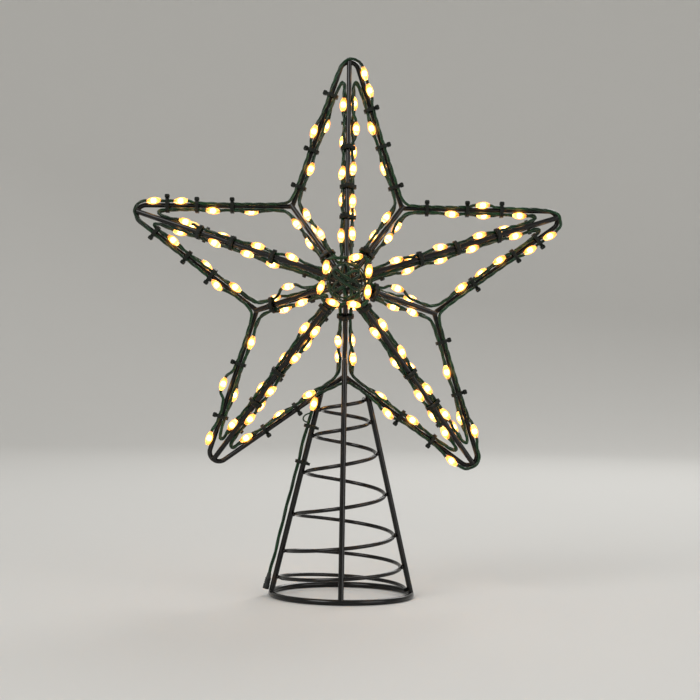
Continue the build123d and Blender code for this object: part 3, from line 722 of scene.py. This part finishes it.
coupler_bottom = beside_left_leg(ring_wire + lead_gap, lead_gap, coupler_diameter)
coupler_top = coupler_bottom + leg_up * coupler_length
lead_start = lead_lamp - leg_up * half_lamp
lead_points = [lead_start, lead_start - leg_up * lead_run_out]
lead_points += [beside_left_leg(height * mm, gap * mm, lead_wire) for height, gap in LEAD_ROUTE]
lead_points += [coupler_top + leg_up * coupler_length / 2, coupler_top]
lead = lay_wires(
    three_wires, "lead_wires", [lead_points], lead_wire / bundle_width, lead_pitch, wire_step, waver=0.0)
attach(lead, "root")
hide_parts("lead_wire")

# Under the first lamp one wire of the lead stands off in a small curl. Its points are given by their
# distance down from the lamp, out to the side and in depth, in mm.
LEAD_CURL = (
    (0, 0, -4.0), (2, 0.8, -3.8), (3, 4.2, -3.2), (6.2, 5.6, -2.2), (8.6, 3.4, -1.2), (8.8, 0.4, -0.4),
    (11, 0, 0))
curl_step = 0.6 * mm
curl_points = []
for down, aside, depth in LEAD_CURL:
    point = lead_start - leg_up * down * mm
    curl_points.append(Vector((point.x - aside * mm, depth * mm, point.z)))
curl = lay_wires(one_wire, "lead_curl", [curl_points], wire_diameter, twist_pitch, curl_step, waver=0.0)
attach(curl, "root")

# Coupler: a plug of black PVC, moulded on the end of the lead. The profile has radii and heights in mm:
# a nut, a plain collar, grip ribs and a strain relief. The mould leaves a fine dull grain.
COUPLER_PROFILE = (
    (1.5, 0), (2.1, 0.1), (2.3, 0.4), (2.3, 3.6), (2.1, 3.9), (1.9, 4.0), (1.9, 4.5), (2.2, 4.6), (2.2, 5.3),
    (1.9, 5.4), (1.9, 5.9), (2.2, 6.0), (2.2, 6.7), (1.9, 6.8), (1.9, 7.3), (2.2, 7.4), (2.2, 8.1),
    (1.8, 8.3), (1.6, 10.0), (1.4, 11.7), (1.25, 12.0))
coupler_sides = 24
mould_grain = 0.4 * mm
mould_depth = 0.05 * mm
moulded_pvc, tree, shader = new_material("black_pvc_coupler")
place = add_node(tree, "ShaderNodeTexCoord").outputs["Object"]
mould = add_node(tree, "ShaderNodeTexNoise", {"Vector": place, "Scale": 1 / mould_grain, "Detail": 3.0})
dull = add_node(tree, "ShaderNodeValToRGB", {"Fac": mould.outputs["Fac"]}, stops=(
    (0.3, "#0d0f0d"), (0.75, "#1a1d1a")))
mould_bump = add_node(tree, "ShaderNodeBump", {
    "Height": mould.outputs["Fac"], "Strength": 0.2, "Distance": mould_depth})
set_inputs(shader, {
    "Base Color": dull.outputs["Color"], "Normal": mould_bump.outputs["Normal"], "Roughness": 0.48})
coupler_rows = [(radius * mm, height * mm) for radius, height in COUPLER_PROFILE]
coupler = lathe("lead_coupler_moulded", coupler_rows, coupler_sides)
along_leg = leg_up.to_track_quat("Z", "Y").to_matrix().to_4x4()
coupler.data.transform(Matrix.Translation(coupler_bottom) @ along_leg)
coupler.data.materials.append(moulded_pvc)
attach(coupler, "root")
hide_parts("lead_coupler")

# Stage: a round pale floor that sweeps up into a pale wall, matt and all one piece, so that no edge
# shows behind the object. Three large soft lamps and an even pale sky light it.
floor_middle = 0.5
floor_radius = 2.0
sweep_radius = 1.0
wall_top = 3.0
sweep_steps = 16
stage_sides = 72
rows = [(floor_middle, 0.0)]
for step in range(sweep_steps + 1):
    turn = pi / 2 * step / sweep_steps
    rows.append((floor_radius + sweep_radius * sin(turn), sweep_radius * (1 - cos(turn))))
rows.append((floor_radius + sweep_radius, wall_top))
turns = [2 * pi * n / stage_sides for n in range(stage_sides)]
points = [(reach * cos(turn), reach * sin(turn), height) for reach, height in rows for turn in turns]
faces = [tuple(range(stage_sides))]
for row in range(len(rows) - 1):
    for n in range(stage_sides):
        a = row * stage_sides + n
        b = row * stage_sides + (n + 1) % stage_sides
        faces.append((a, a + stage_sides, b + stage_sides, b))
floor_mesh = bpy.data.meshes.new("floor")
floor_mesh.from_pydata(points, [], faces)
floor_mesh.shade_smooth()
floor = new_object("floor", floor_mesh)
pale, tree, shader = new_material("pale_floor")
set_inputs(shader, {"Base Color": linear("#d4d3d0"), "Roughness": 0.8})
floor_mesh.materials.append(pale)

world = bpy.data.worlds.new("studio")
scene.world = world
world.use_nodes = True
set_inputs(world.node_tree.nodes["Background"], {"Color": linear("#f2f1ee"), "Strength": 0.55})

# Name, power, width and place of each lamp. All of them point at the middle of the object.
STUDIO_LAMPS = (
    ("key", 26.0, 1.2, (-1.3, -1.6, 1.7)),
    ("fill", 12.0, 1.5, (1.7, -1.3, 0.9)),
    ("rim", 16.0, 1.0, (0.6, 1.6, 1.5)),
)
lamp_aim = Vector((0, 0, 0.2))
for name, power, width, position in STUDIO_LAMPS:
    panel = bpy.data.lights.new(name, "AREA")
    panel.energy = power
    panel.size = width
    lamp = new_object(name, panel)
    lamp.location = position
    lamp.rotation_euler = (lamp_aim - lamp.location).to_track_quat("-Z", "Y").to_euler()

# Camera: straight in front of the object and level with its middle. It is turned a little about its
# own line of sight, because the star leans by that much in the photograph.
camera_place = Vector((3.7 * mm, -1345 * mm, 179.6 * mm))
view_angle = radians(21.5)
star_lean = radians(0.9)
lens = bpy.data.cameras.new("front")
lens.sensor_width = 36
lens.angle = view_angle
camera = new_object("front", lens)
camera.location = camera_place
level = Matrix.Rotation(radians(90), 3, "X")
camera.rotation_euler = (level @ Matrix.Rotation(star_lean, 3, "Z")).to_euler()
scene.camera = camera
scene.view_settings.view_transform = "Standard"
